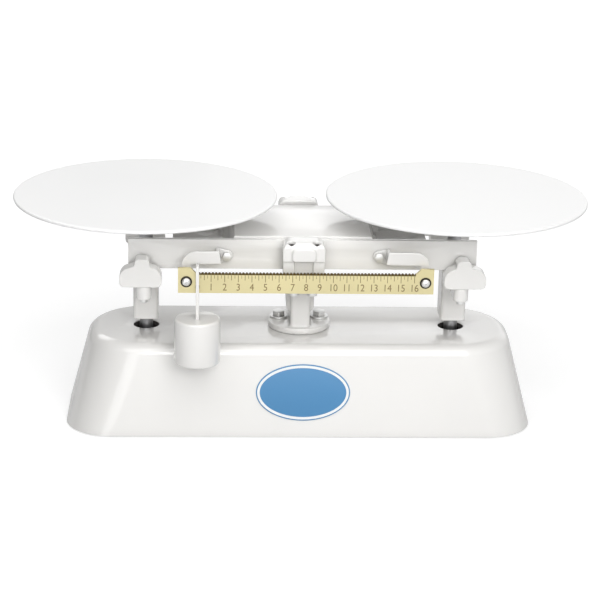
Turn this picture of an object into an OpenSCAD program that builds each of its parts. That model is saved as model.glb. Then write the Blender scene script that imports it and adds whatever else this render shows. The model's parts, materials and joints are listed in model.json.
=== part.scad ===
// Even-arm dough scale with two round plates and a sliding poise on a notched bar.
// Millimetres. The bench is z = 0, the front is -Y, and the centre knife edge lies over the origin.

/* [Base casting] */
// Height of the base's deck above the bench
base_h = 80; // [70:1:100]
// Length of the base along its lower rim
base_l = 411; // [400:1:440]
// Depth of the base along its lower rim
base_w = 140; // [132:1:150]
// How much shorter the base is at its deck than at its rim
base_taper_l = 41; // [20:1:50]
// How much shallower the base is at its deck than at its rim
base_taper_w = 28; // [14:1:32]
// Plan radius of the base's corners
base_corner = 44; // [36:1:52]
// Radius of the soft edge round the deck
base_edge = 10; // [5:1:12]
// Side wall of the base
base_wall = 4.5; // [3:0.5:7]
// Thickness of the base's deck
deck_t = 5; // [4:0.5:8]
// Gap between the rim and the bench
rim_gap = 0.8; // [0.5:0.1:3]
// Diameter of the two holes that the spindles pass through
spindle_hole_d = 22.5; // [20:0.5:24]
// Diameter of the rubber feet
foot_d = 18; // [14:1:20]
// Height of the rubber feet
foot_h = 6; // [4:0.5:9]
// Distance of each foot from the base's end
foot_in_x = 38; // [34:1:46]
// Distance of each foot from the base's side
foot_in_y = 26; // [24:1:32]
// Width of the oval badge
badge_w = 82; // [50:1:100]
// Height of the oval badge
badge_h = 50; // [30:1:54]
// Thickness of the oval badge
badge_t = 1; // [0.6:0.1:2]

/* [Centre stand] */
// Height of the knife edges above the deck
pivot_rise = 77; // [74:1:90]
// Diameter of the stand's round flange
flange_d = 55; // [54:1:64]
// Thickness of the stand's flange
flange_t = 5.5; // [4:0.5:8]
// Width of the column at the flange
column_foot_w = 17.5; // [14:0.5:18]
// Width of the column under the cross arm
column_head_w = 25; // [20:0.5:26]
// Depth of the column, front to back
column_depth = 46; // [36:1:50]
// Width of the cross arm, bearing brackets and caps
bracket_w = 36; // [34:1:44]
// Depth of each bearing bracket
bracket_t = 17; // [16:0.5:18]
// Distance between the two stand bolts
stand_bolt_gap = 36; // [36:0.5:38]
// Diameter of the large washers under the stand bolts
stand_washer_d = 16; // [15:0.5:16]

/* [Beam] */
// Distance from the centre knife edge to each end knife edge
arm = 135.6; // [132:0.2:140]
// Length of the side bars beyond the end knife edges
bar_over = 13.4; // [10:0.1:16]
// Height of the two side bars
bar_h = 26; // [24:0.5:28]
// Thickness of the two side bars
bar_t = 5; // [4:0.5:6]
// Clear width between the side bars
bar_gap = 94; // [90:1:98]
// How far the side bars reach below the knife edges
bar_drop = 8; // [7:0.5:9]
// Width of the raised top of the bridge
hood_w = 117; // [110:1:124]
// Width of each sloping side of the bridge
hood_slope = 10; // [8:0.5:14]
// Metal thickness of the bridge
bridge_t = 3; // [2:0.5:4]

/* [Poise bar and poise] */
// Weight of the poise in ounces, which sets the spacing of the ounce marks
poise_ounces = 11.85; // [11.7:0.05:12.4]
// Number of ounce marks after zero
ounces = 16; // [16:1:16]
// Notches to each ounce
notches_per_ounce = 4; // [2:1:5]
// Sideways place of the bar's middle
scale_mid_x = 1.8; // [0:0.1:4]
// Thickness of the notched bar
scale_t = 3; // [2:0.5:3.5]
// Height of the bar's plain ends
scale_h = 22; // [20:0.5:24]
// How much lower the notched edge lies than the ends
scale_step = 4.3; // [3:0.1:5]
// Length of each plain end of the bar
scale_end = 15; // [14:0.1:17]
// Distance of the notched bar in front of the side bar
scale_reach = 26.5; // [26:0.5:34]
// Depth of each notch
notch_depth = 1.2; // [0.8:0.1:1.6]
// Diameter of the poise weight
weight_d = 39.2; // [34:0.1:42]
// Height of the poise weight
weight_h = 40; // [34:1:42]
// Thickness of the poise's hanger strap
strap_t = 2.7; // [1.5:0.1:3]

/* [Plates and bearers] */
// Diameter of the two plates
plate_d = 228.6; // [200:0.2:230]
// Thickness of the two plates
plate_t = 3; // [2:0.5:5]
// Height of the plates' top above the knife edges
plate_rise = 44; // [43:0.5:50]
// Reach of the four spider arms under each plate
spider_r = 75; // [50:1:90]
// Diameter of each spindle
spindle_d = 12; // [11:0.5:14]
// Width of the block that clamps each spindle
block_w = 22; // [20:0.5:26]
// Gap between each block and the deck, which sets the swing
block_gap = 9.5; // [7:0.5:12]
// Width of each wing-shaped bearing cover
wing_w = 35.8; // [32:0.1:40]
// Height of the wings' outer ends
wing_h = 17; // [15:0.5:18]
// Width of the cross arm under each bearing cover
bearer_w = 13; // [11:0.5:14]
// Height of the ballast on the right spindle
ballast_h = 18.1; // [10:0.1:22]

/* [Hidden] */

// Clearances shared by every fit
run_gap = 0.05;
edge_gap = 0.1;
slip_gap = 0.3;
// A little more than nothing, so that cuts pass clean through a face
over = 1;

// Colours
enamel = [0.93, 0.93, 0.91];
plate_white = [0.97, 0.97, 0.98];
zinc = [0.75, 0.76, 0.78];
hard_steel = [0.55, 0.56, 0.58];
brass = [0.84, 0.74, 0.42];
black_rubber = [0.1, 0.1, 0.1];
badge_blue = [0.29, 0.55, 0.76];

// Heights
deck_z = base_h;
pivot_z = deck_z + pivot_rise;
bar_low_z = pivot_z - bar_drop;
bar_top_z = bar_low_z + bar_h;
edge_z = deck_z - base_edge;
plate_top_z = pivot_z + plate_rise;
plate_low_z = plate_top_z - plate_t;

// Base
corner_steps = 10;
edge_steps = 6;
hole_segments = 48;
foot_x = base_l / 2 - foot_in_x;
foot_y = base_w / 2 - foot_in_y;
foot_recess_h = 2.5;
foot_recess_d = foot_d - 7;
foot_column_d = foot_d - 2;
foot_screw_d = 4;
foot_screw_l = 14;
badge_x = 2;
badge_z = 40;
badge_steps = 72;
wall_lean = atan((base_taper_w / 2) / (deck_z - rim_gap));

// Stand
stand_bolt_x = stand_bolt_gap / 2;
stand_bolt_y = 6;
bolt_d = 6;
bolt_head_d = 11.5;
bolt_head_h = 4.2;
washer_t = 1.6;
nut_t = 5;
rib_corner = 3.5;
rib_depth = 6;
neck_rise = 8;
neck_flare = 7;
waist_taper = 0.5;
arm_overlap = 6;
hanger_plate_t = 4;
hanger_plate_over = 9;
hanger_plate_w = stand_bolt_gap + 2 * hanger_plate_over;
hanger_plate_depth = 30;
hanger_cheek_t = 3;
hanger_cheek_w = 20;
beam_clear = 4;
arm_top_z = bar_low_z - beam_clear;
arm_end_h = 12;
arm_mid_h = 27;
arm_w = 26;
arm_chamfer = 4;
bar_out_y = bar_gap / 2 + bar_t;
bracket_clear = 3;
bracket_in_y = bar_out_y + bracket_clear;
bracket_out_y = bracket_in_y + bracket_t;
bracket_top_z = pivot_z + 5;
bracket_inset = 0.5;
bracket_recess_w = 16;
bracket_recess = 2.5;
cap_over = 2;
cap_out_y = bracket_out_y + cap_over;
nose_reach = 2.5;
cap_nose_y = cap_out_y + nose_reach;
cap_nose_w = 20;
nose_rise = 1;
nose_h = 11.5;
nose_low_r = 2;
nose_top_r = 4;
cap_rise = 4;
cap_top_z = bar_top_z + cap_rise;
cap_corner = 7;
cap_brow = 5;
cap_cavity_half = 7;
cap_roof_t = 8;
cap_screw_x = 10.8;
cap_screw_d = 3.4;
cap_screw_head_d = 6;
cap_screw_head_h = 2.5;
cap_screw_y = bracket_out_y - 2.5;
cap_screw_sunk = 5;
cap_screw_grip = 5;
bracket_screw_d = 5;
bracket_screw_x = 8;
bracket_screw_grip = 4;
bracket_screw_head_d = 8.5;
bracket_screw_head_h = 3.5;

// Knife edges and their bearings
knife_half = 4.2;
knife_tip_h = 5;
knife_h = 10;
end_knife_half = 3;
end_knife_tip_h = 3.5;
end_knife_h = 6;
end_knife_reach = 12.5;
end_knife_out_y = bar_out_y + end_knife_reach;
block_half = 6.6;
block_h = 9;
block_rise = 3;
block_top_z = pivot_z + block_rise;
block_depth = 11.5;
vee_slope = 1.75;

// Beam
bar_half_l = arm + bar_over;
hood_half = hood_w / 2;
floor_rise = 3;
floor_z = bar_low_z + floor_rise;
hood_lift = 2;
hood_z = bar_top_z + hood_lift;
floor_short = 23;
floor_half = arm - floor_short;
boss_out = 6.5;
boss_x = hood_half + boss_out;
boss_w = 13;
boss_depth = 8;
beam_bolt_rise = 4.5;
beam_bolt_z = pivot_z + beam_bolt_rise;
beam_bolt_d = 6;
beam_bolt_head_d = 11.4;
beam_bolt_head_h = 4;

// Poise bar
ounce_pitch = arm / poise_ounces;
scale_travel = ounces * ounce_pitch;
notch_margin = 1.4;
notch_zone_half = scale_travel / 2 + notch_margin;
scale_half_l = notch_zone_half + scale_end;
scale_back_y = bar_out_y + scale_reach;
scale_front_y = scale_back_y + scale_t;
scale_mid_y = (scale_back_y + scale_front_y) / 2;
scale_rise = 2;
scale_top_z = pivot_z + scale_rise;
scale_low_z = scale_top_z - scale_h;
notch_z = scale_top_z - scale_step;
notch_count = ounces * notches_per_ounce;
notch_pitch = ounce_pitch / notches_per_ounce;
notch_share = 0.28;
notch_half = notch_share * notch_pitch;
tick_depth = 0.25;
tick_w = 0.5;
ounce_tick_l = 6.4;
half_tick_l = 4.6;
tick_top_gap = 0.6;
zero_x = scale_mid_x - scale_travel / 2;
bar_screw_out = 8;
bar_screw_half = notch_zone_half + bar_screw_out;
bracket_strap_t = 3;
head_clear = 0.8;
flange_reach = beam_bolt_head_d / 2 + head_clear + bracket_strap_t;
flange_h = 14;
flange_low_z = beam_bolt_z - flange_h / 2;
flange_top_z = beam_bolt_z + flange_h / 2;
front_arm_reach = 18;
front_arm_y = bar_out_y + front_arm_reach;
front_arm_h = 12;
front_arm_low_z = scale_top_z;
front_arm_top_z = front_arm_low_z + front_arm_h;
leg_half = 4;
leg_rise = 3;
leg_low_z = scale_low_z + leg_rise;
bar_screw_rise = 10;
bar_screw_z = scale_low_z + bar_screw_rise;
bar_screw_d = 3.5;
bar_screw_head_d = 9.4;
bar_screw_head_h = 3;
bar_spacer_d = 9;
bar_nut_d = 7.5;
bar_nut_t = 2.6;

// Poise
slot_side = 0.7;
strap_side = 3.1;
slot_half_y = scale_t / 2 + slot_side;
strap_half_y = slot_half_y + strap_side;
strap_eye = 6.3;
strap_top_z = notch_z + strap_eye;
slot_low_clear = 2.5;
slot_low_z = scale_low_z - slot_low_clear;
rock_z = notch_z + slip_gap;
strap_free_l = 22.5;
weight_top_z = scale_low_z - strap_free_l;
weight_low_z = weight_top_z - weight_h;
weight_edge = 1.5;
strap_sink = 9;
poise_pin_d = 3;
poise_pin_far = 8;
cavity_d = 24;
cavity_h = 19.3;
plug_t = 5;

// Plates and bearers
link_drop = 46;
link_z = deck_z - link_drop;
spindle_end = 7;
spindle_low_z = link_z - spindle_end;
check_h = 16;
check_t = 5;
link_pin_d = 5;
centre_pin_d = 6;
pin_head_t = 1.2;
pin_head_over = 2;
fork_half = check_t / 2 + slip_gap;
fork_clear = 5;
fork_top_z = link_z + check_h / 2 + fork_clear;
block_low_z = deck_z + block_gap;
block_half_y = 15;
block_corner = 3;
bearer_drop = 12;
bearer_top_z = bar_low_z - bearer_drop;
bearer_h = 12;
bearer_low_z = bearer_top_z - bearer_h;
wing_clear = 2;
wing_in_y = bar_out_y + wing_clear;
wing_t = 14.5;
wing_out_y = wing_in_y + wing_t;
wing_mid_y = (wing_in_y + wing_out_y) / 2;
wing_front_wall = 3;
crown_half = 6.3;
crown_r = 4;
crown_foot_r = 2;
crown_rise = 5;
crown_top_z = pivot_z + crown_rise;
crown_shift = 1.2;
brim_shift = 1.4;
shoulder_slope = 20;
wing_low_r = 4;
wing_top_r = 9;
wing_end_z = bearer_top_z + wing_h;
pocket_half = 3.6;
pocket_drop = 9;
pocket_low_z = pivot_z - pocket_drop;
insert_half = 3.5;
insert_low_z = pivot_z - 1.6;
insert_top_z = pivot_z + 2.5;
insert_depth = 10;
wing_screw_d = 4;
wing_screw_head_d = 7;
wing_screw_head_h = 3;
wing_screw_grip = 8;
wing_screw_top = bearer_top_z + wing_screw_grip;
set_screw_rise = 12;
set_screw_d = 5;
hub_d = 34;
hub_h = 16;
socket_h = 6;
spider_floor_t = 3;
hub_low_z = plate_low_z - hub_h;
socket_z = plate_low_z - socket_h;
spindle_top_z = socket_z - spider_floor_t;
spider_top_z = plate_low_z - edge_gap;
socket_d = 20;
boss_d = socket_d - 2 * slip_gap;
plate_boss_h = 3.2;
spider_arm_w = 8;
spider_arm_root_h = 8;
spider_arm_tip_h = 4;
spider_pad_d = 14;
spider_screw_d = 5;
spider_screw_l = 13;
spider_screw_head_d = 9;
spider_screw_head_h = 2.4;
plate_edge_r = plate_t / 2 - 0.1;
link_gap = 0.1;
ballast_d = 46;
ballast_rise = 12;
ballast_low_z = link_z + ballast_rise;

// Outlines and sweeps

function arc(cx, cy, r, a0, a1, steps) =
    [for (i = [0:steps]) let (a = a0 + (a1 - a0) * i / steps) [cx + r * cos(a), cy + r * sin(a)]];

function rounded_box(half_x, half_y, r, steps) = concat(
    arc(half_x - r, half_y - r, r, 0, 90, steps),
    arc(r - half_x, half_y - r, r, 90, 180, steps),
    arc(r - half_x, r - half_y, r, 180, 270, steps),
    arc(half_x - r, r - half_y, r, 270, 360, steps));

// Outline in the XZ plane, extruded from y0 to y1
module along_y(y0, y1) {
    translate([0, y1, 0]) rotate([90, 0, 0]) linear_extrude(y1 - y0) children();
}

// Outline in the YZ plane, extruded evenly about x = 0
module along_x(width) {
    translate([-width / 2, 0, 0]) rotate([90, 0, 90]) linear_extrude(width) children();
}

module upright(d, low, high) {
    translate([0, 0, low]) cylinder(d = d, h = high - low, $fn = hole_segments);
}

module lying(d, y0, y1) {
    translate([0, y1, 0]) rotate([90, 0, 0]) cylinder(d = d, h = y1 - y0, $fn = hole_segments);
}

module mirrored_x() {
    children();
    mirror([1, 0, 0]) children();
}

module mirrored_y() {
    children();
    mirror([0, 1, 0]) children();
}

// Solid through a stack of rings, each a height and an outline of equally many points
module stack_loft(rings) {
    n = len(rings[0][1]);
    m = len(rings);
    points = [for (ring = rings) for (p = ring[1]) [p[0], p[1], ring[0]]];
    sides = [for (i = [0:m - 2]) for (j = [0:n - 1])
        let (a = i * n + j, b = i * n + (j + 1) % n, c = b + n, d = a + n) each [[a, d, c], [a, c, b]]];
    floor_face = [for (j = [0:n - 1]) j];
    roof_face = [for (j = [n - 1:-1:0]) (m - 1) * n + j];
    polyhedron(points = points, faces = concat([floor_face], sides, [roof_face]));
}

// Base

function base_share(z) = (z - rim_gap) / (deck_z - rim_gap);
function edge_inset(z) = z <= edge_z ? 0
    : base_edge * (1 - sqrt(max(0, 1 - pow((z - edge_z) / base_edge, 2))));
function base_half_y(z) = (base_w - base_taper_w * base_share(z)) / 2;
function base_ring(z, inset) = rounded_box(
    (base_l - base_taper_l * base_share(z)) / 2 - inset,
    base_half_y(z) - inset,
    base_corner - inset, corner_steps);
edge_levels = [for (k = [1:edge_steps]) edge_z + base_edge * sin(90 * k / edge_steps)];

module base_form(wall, drop) {
    low = rim_gap - (wall > 0 ? over : 0);
    body_levels = concat([low, edge_z - drop], [for (z = edge_levels) z - drop]);
    stack_loft([for (z = body_levels) [z, base_ring(z, wall + edge_inset(z + drop))]]);
}

module at_feet() {
    mirrored_x() mirrored_y() translate([foot_x, foot_y, 0]) children();
}

module base_shell() {
    color(enamel) difference() {
        union() {
            difference() {
                base_form(0, 0);
                base_form(base_wall, deck_t);
            }
            intersection() {
                base_form(0, 0);
                at_feet() upright(foot_column_d, foot_h, deck_z);
            }
        }
        mirrored_x() translate([arm, 0, 0]) upright(spindle_hole_d, deck_z - deck_t - over, deck_z + over);
        at_stand_bolts()
            upright(bolt_d + 2 * run_gap, deck_z - deck_t - over, deck_z + over);
        at_feet() upright(foot_screw_d + 2 * run_gap, foot_h - over, foot_h + foot_screw_l);
    }
}

module rubber_feet() {
    color(black_rubber) at_feet() difference() {
        upright(foot_d, 0, foot_h);
        upright(foot_recess_d, -over, foot_recess_h);
        upright(foot_screw_d + 2 * run_gap, -over, foot_h + over);
    }
}

module foot_screws() {
    color(zinc) at_feet() {
        upright(foot_screw_d, foot_recess_h - 0.5, foot_h + foot_screw_l - 1);
        upright(foot_recess_d - 2, foot_recess_h - 2, foot_recess_h);
    }
}

module front_badge() {
    outline = [for (i = [0:badge_steps - 1]) let (a = 360 * i / badge_steps)
        [badge_w / 2 * cos(a), badge_h / 2 * sin(a)]];
    color(badge_blue) translate([badge_x, -base_half_y(badge_z), badge_z]) rotate([90 - wall_lean, 0, 0])
        translate([0, 0, edge_gap]) linear_extrude(badge_t) polygon(outline);
}

// Centre stand

module at_stand_bolts() {
    mirrored_x() translate([stand_bolt_x, stand_bolt_y, 0]) children();
}

module centre_stand() {
    arm_low_z = arm_top_z - arm_end_h;
    mid_low_z = arm_top_z - arm_mid_h;
    arm_outline = [
        [-bracket_out_y, arm_top_z], [-bracket_out_y, arm_low_z + arm_chamfer],
        [-bracket_out_y + arm_chamfer, arm_low_z], [-column_depth / 2, mid_low_z],
        [column_depth / 2, mid_low_z], [bracket_out_y - arm_chamfer, arm_low_z],
        [bracket_out_y, arm_low_z + arm_chamfer], [bracket_out_y, arm_top_z]];
    flange_top = deck_z + flange_t;
    rib_ring = rounded_box(column_foot_w / 2, column_depth / 2, rib_corner, 6);
    core_half_y = column_depth / 2 - rib_depth;
    neck_ring = rounded_box(column_foot_w / 2 - rib_corner, core_half_y, rib_corner, 6);
    waist_ring = rounded_box((column_head_w - waist_taper) / 2, core_half_y, rib_corner, 6);
    head_ring = rounded_box(column_head_w / 2, core_half_y, rib_corner, 6);
    head_z = mid_low_z + arm_overlap;
    color(enamel) difference() {
        union() {
            upright(flange_d, deck_z, flange_top);
            translate([0, 0, flange_top - over]) linear_extrude(head_z - flange_top + over) polygon(rib_ring);
            stack_loft([[flange_top + neck_rise, neck_ring],
                [flange_top + neck_rise + neck_flare, waist_ring], [head_z, head_ring]]);
            along_x(arm_w) polygon(arm_outline);
        }
        at_stand_bolts() upright(bolt_d + 2 * run_gap, deck_z - over, flange_top + over);
        at_bracket_screws() upright(bracket_screw_d + 2 * run_gap, mid_low_z - over, arm_top_z + over);
        at_bracket_screws() upright(bracket_screw_head_d + 2 * slip_gap, mid_low_z - over, arm_low_z);
    }
}

module stand_washers() {
    color(zinc) at_stand_bolts() difference() {
        upright(stand_washer_d, deck_z + flange_t, deck_z + flange_t + washer_t);
        upright(bolt_d + 2 * run_gap, deck_z, deck_z + flange_t + washer_t + over);
    }
}

module stand_bolts() {
    head_z = deck_z + flange_t + washer_t;
    color(zinc) at_stand_bolts() {
        upright(bolt_d, deck_z - deck_t - hanger_plate_t - nut_t - 2, head_z + 1);
        translate([0, 0, head_z]) rotate(30) cylinder(d = bolt_head_d, h = bolt_head_h, $fn = 6);
    }
}

module stand_nuts() {
    nut_top_z = deck_z - deck_t - hanger_plate_t;
    color(zinc) at_stand_bolts() difference() {
        translate([0, 0, nut_top_z - nut_t]) rotate(30) cylinder(d = bolt_head_d, h = nut_t, $fn = 6);
        upright(bolt_d + 2 * run_gap, nut_top_z - nut_t - over, nut_top_z + over);
    }
}

module link_hanger() {
    plate_z = deck_z - deck_t;
    cheek_in = check_t / 2 + 1;
    color(zinc) difference() {
        union() {
            translate([-hanger_plate_w / 2, -hanger_plate_depth / 2, plate_z - hanger_plate_t])
                cube([hanger_plate_w, hanger_plate_depth, hanger_plate_t]);
            mirrored_y() {
                translate([-hanger_cheek_w / 2, cheek_in, link_z])
                    cube([hanger_cheek_w, hanger_cheek_t, plate_z - hanger_plate_t / 2 - link_z]);
                translate([0, 0, link_z]) lying(hanger_cheek_w, cheek_in, cheek_in + hanger_cheek_t);
            }
        }
        at_stand_bolts() upright(bolt_d + 2 * run_gap, plate_z - hanger_plate_t - over, plate_z + over);
        translate([0, 0, link_z]) lying(centre_pin_d + 2 * run_gap, -hanger_cheek_w, hanger_cheek_w);
    }
}

// A headed pin across a gap, with its head at the front
module headed_pin(d, half_l) {
    lying(d, -half_l, half_l);
    lying(d + 2 * pin_head_over, -half_l - pin_head_t, -half_l);
    lying(d + pin_head_over, half_l, half_l + pin_head_t);
}

module hanger_pin() {
    color(hard_steel) translate([0, 0, link_z]) headed_pin(centre_pin_d, check_t / 2 + 1 + hanger_cheek_t);
}

module at_bracket_screws() {
    mid_y = (bracket_in_y + bracket_out_y) / 2;
    mirrored_x() mirrored_y() translate([bracket_screw_x, mid_y, 0]) children();
}

module bearing_bracket() {
    pocket_low = block_top_z - block_h;
    difference() {
        translate([bracket_inset - bracket_w / 2, bracket_in_y, arm_top_z])
            cube([bracket_w - 2 * bracket_inset, bracket_t, bracket_top_z - arm_top_z]);
        translate([-block_half - run_gap, bracket_in_y - over, pocket_low])
            cube([2 * (block_half + run_gap), block_depth + run_gap + over,
                bracket_top_z - pocket_low + over]);
        translate([-bracket_recess_w / 2, bracket_out_y - bracket_recess, arm_top_z - over])
            cube([bracket_recess_w, bracket_recess + over, bracket_top_z - arm_top_z + 2 * over]);
        at_bracket_screws() upright(bracket_screw_d + 2 * run_gap, arm_top_z - over,
            arm_top_z + bracket_screw_grip + 0.5);
        mirrored_x() translate([cap_screw_x, cap_screw_y, 0])
            upright(cap_screw_d + 2 * run_gap, bracket_top_z - cap_screw_grip - 0.5, bracket_top_z + over);
    }
}

module rear_bearing_bracket() {
    color(enamel) bearing_bracket();
}

module front_bearing_bracket() {
    color(enamel) mirror([0, 1, 0]) bearing_bracket();
}

module bracket_screws() {
    arm_low_z = arm_top_z - arm_end_h;
    color(zinc) at_bracket_screws() {
        upright(bracket_screw_d, arm_low_z - 1, arm_top_z + bracket_screw_grip);
        upright(bracket_screw_head_d, arm_low_z - bracket_screw_head_h, arm_low_z);
    }
}

// Hardened block with an upward vee that the centre knife edge rests in
module centre_bearings() {
    vee_z = pivot_z - edge_gap;
    vee_half = (block_top_z - vee_z) * vee_slope;
    block_outline = [
        [-block_half, block_top_z - block_h], [block_half, block_top_z - block_h],
        [block_half, block_top_z], [vee_half, block_top_z], [0, vee_z],
        [-vee_half, block_top_z], [-block_half, block_top_z]];
    color(hard_steel) mirrored_y() along_y(bracket_in_y, bracket_in_y + block_depth) polygon(block_outline);
}

module bearing_cap() {
    half = bracket_w / 2;
    side_x = half - cap_corner;
    front_outline = concat([[half, bracket_top_z]], arc(side_x, cap_top_z - cap_corner, cap_corner, 0, 90, 6),
        arc(-side_x, cap_top_z - cap_corner, cap_corner, 90, 180, 6), [[-half, bracket_top_z]]);
    side_outline = concat(
        [[bracket_in_y, cap_top_z], [bracket_in_y, bracket_top_z], [cap_out_y, bracket_top_z]],
        arc(cap_out_y - cap_brow, cap_top_z - cap_brow, cap_brow, 0, 90, 6));
    nose_low_z = bracket_top_z + nose_rise;
    low_x = cap_nose_w / 2 - nose_low_r;
    top_x = cap_nose_w / 2 - nose_top_r;
    low_z = nose_low_z + nose_low_r;
    top_z = nose_low_z + nose_h - nose_top_r;
    nose_outline = concat(arc(low_x, low_z, nose_low_r, -90, 0, 4), arc(top_x, top_z, nose_top_r, 0, 90, 4),
        arc(-top_x, top_z, nose_top_r, 90, 180, 4), arc(-low_x, low_z, nose_low_r, 180, 270, 4));
    difference() {
        union() {
            intersection() {
                along_y(bracket_in_y, cap_out_y) polygon(front_outline);
                along_x(bracket_w + 2 * over) polygon(side_outline);
            }
            along_y(cap_out_y - 1, cap_nose_y) polygon(nose_outline);
        }
        translate([-cap_cavity_half, bracket_in_y - over, bracket_top_z - over])
            cube([2 * cap_cavity_half, block_depth + 1 + over,
                cap_top_z - cap_roof_t - bracket_top_z + over]);
        mirrored_x() translate([cap_screw_x, cap_screw_y, 0]) {
            upright(cap_screw_d + 2 * run_gap, bracket_top_z - over, cap_top_z + over);
            upright(cap_screw_head_d + 0.4, cap_top_z - cap_screw_sunk, cap_top_z + over);
        }
    }
}

module rear_bearing_cap() {
    color(enamel) bearing_cap();
}

module front_bearing_cap() {
    color(enamel) mirror([0, 1, 0]) bearing_cap();
}

module cap_screws() {
    seat_z = cap_top_z - cap_screw_sunk;
    color(hard_steel) mirrored_x() mirrored_y() translate([cap_screw_x, cap_screw_y, 0]) {
        upright(cap_screw_d, bracket_top_z - cap_screw_grip, seat_z + 1);
        upright(cap_screw_head_d, seat_z, seat_z + cap_screw_head_h);
    }
}

// Beam

// Cross-section of the centre knife edge, edge down
function centre_knife_outline(gap) = [
    [0, pivot_z - gap], [knife_half + gap, pivot_z + knife_tip_h],
    [knife_half + gap, pivot_z + knife_h + gap], [-knife_half - gap, pivot_z + knife_h + gap],
    [-knife_half - gap, pivot_z + knife_tip_h]];

// Cross-section of an end knife edge, edge up
function end_knife_outline(gap) = [
    [0, pivot_z + gap], [-end_knife_half - gap, pivot_z - end_knife_tip_h],
    [-end_knife_half - gap, pivot_z - end_knife_h - gap], [end_knife_half + gap, pivot_z - end_knife_h - gap],
    [end_knife_half + gap, pivot_z - end_knife_tip_h]];

module side_bar() {
    inner = bar_gap / 2;
    difference() {
        translate([-bar_half_l, inner, bar_low_z]) cube([2 * bar_half_l, bar_t, bar_h]);
        along_y(inner - over, bar_out_y + over) polygon(centre_knife_outline(run_gap));
        mirrored_x() translate([arm, 0, 0]) along_y(inner - over, bar_out_y + over)
            polygon(end_knife_outline(run_gap));
        mirrored_x() translate([boss_x, 0, beam_bolt_z])
            lying(beam_bolt_d + 2 * run_gap, inner - over, bar_out_y + over);
    }
}

module beam_rear_bar() {
    color(enamel) side_bar();
}

module beam_front_bar() {
    color(enamel) mirror([0, 1, 0]) side_bar();
}

// Hat-shaped bridge between the side bars
module beam_bridge() {
    foot_x0 = hood_half + hood_slope;
    roof_z = hood_z - bridge_t;
    floor_top_z = floor_z + bridge_t;
    run = hood_slope;
    rise = hood_z - floor_top_z;
    slant = bridge_t * (sqrt(run * run + rise * rise) - run) / rise;
    right_half = [
        [hood_half, hood_z], [foot_x0, floor_top_z], [floor_half, floor_top_z], [floor_half, floor_z],
        [foot_x0 - slant, floor_z], [hood_half - slant, roof_z]];
    left_half = [for (i = [len(right_half) - 1:-1:0]) [-right_half[i][0], right_half[i][1]]];
    half_y = bar_gap / 2;
    color(enamel) difference() {
        union() {
            along_y(-half_y, half_y) polygon(concat(right_half, left_half));
            mirrored_x() mirrored_y()
                translate([boss_x - boss_w / 2, half_y - boss_depth, floor_z])
                cube([boss_w, boss_depth, beam_bolt_z + 5 - floor_z]);
        }
        mirrored_x() translate([boss_x, 0, beam_bolt_z]) {
            lying(beam_bolt_d + 2 * run_gap, half_y - boss_depth + 1, half_y + over);
            lying(beam_bolt_d + 2 * run_gap, -half_y - over, boss_depth - 1 - half_y);
        }
    }
}

// Four bolts: the front pair also clamps the bar brackets
module beam_bolts() {
    shank_end = bar_gap / 2 - boss_depth + 2;
    color(zinc) for (side = [-1, 1]) {
        seat_y = side < 0 ? bar_out_y + bracket_strap_t : bar_out_y;
        mirrored_x() mirror([0, side < 0 ? 1 : 0, 0]) translate([boss_x, 0, beam_bolt_z]) {
            lying(beam_bolt_d, shank_end, seat_y + 1);
            translate([0, seat_y + beam_bolt_head_h, 0]) rotate([90, 0, 0])
                cylinder(d = beam_bolt_head_d, h = beam_bolt_head_h, $fn = 6);
        }
    }
}

module centre_knife() {
    half_l = bracket_in_y + block_depth - 0.5;
    color(hard_steel) along_y(-half_l, half_l) polygon(centre_knife_outline(0));
}

module end_knives() {
    color(hard_steel) mirrored_x() mirrored_y() translate([arm, 0, 0])
        along_y(bar_gap / 2, end_knife_out_y) polygon(end_knife_outline(0));
}

module at_bar_screws() {
    for (side = [-1, 1]) translate([scale_mid_x + side * bar_screw_half, 0, bar_screw_z]) children();
}

// Bent strap from a beam bolt forward, outward and down to one end of the notched bar
module bar_bracket(side) {
    screw_x = bar_screw_half + side * scale_mid_x;
    web_out = boss_x + flange_reach;
    leg_in = screw_x - leg_half;
    leg_out = screw_x + leg_half;
    arm_in_y = front_arm_y;
    arm_out_y = front_arm_y + bracket_strap_t;
    arm_outline = concat(
        [[web_out - bracket_strap_t, front_arm_low_z], [leg_in, front_arm_low_z], [leg_in, leg_low_z],
            [leg_out, leg_low_z]],
        arc(leg_out - front_arm_h, front_arm_low_z, front_arm_h, 0, 90, 8),
        [[web_out - bracket_strap_t, front_arm_top_z]]);
    mirror([side < 0 ? 1 : 0, 0, 0]) difference() {
        union() {
            translate([boss_x, 0, beam_bolt_z]) lying(flange_h, -bar_out_y - bracket_strap_t, -bar_out_y);
            translate([boss_x, -bar_out_y - bracket_strap_t, flange_low_z])
                cube([flange_reach, bracket_strap_t, flange_h]);
            translate([web_out - bracket_strap_t, -arm_out_y, front_arm_low_z])
                cube([bracket_strap_t, arm_out_y - bar_out_y, flange_top_z - front_arm_low_z]);
            along_y(-arm_out_y, -arm_in_y) polygon(arm_outline);
        }
        translate([boss_x, 0, beam_bolt_z]) lying(beam_bolt_d + 2 * run_gap, -arm_out_y, -bar_gap / 2);
        translate([screw_x, 0, bar_screw_z])
            lying(bar_screw_d + 2 * run_gap, -arm_out_y - over, -arm_in_y + over);
    }
}

module left_bar_bracket() {
    color(enamel) bar_bracket(-1);
}

module right_bar_bracket() {
    color(enamel) bar_bracket(1);
}

module bar_spacers() {
    color(enamel) at_bar_screws() difference() {
        lying(bar_spacer_d, -scale_back_y, -front_arm_y - bracket_strap_t);
        lying(bar_screw_d + 2 * run_gap, -scale_back_y - over, -front_arm_y);
    }
}

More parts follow.
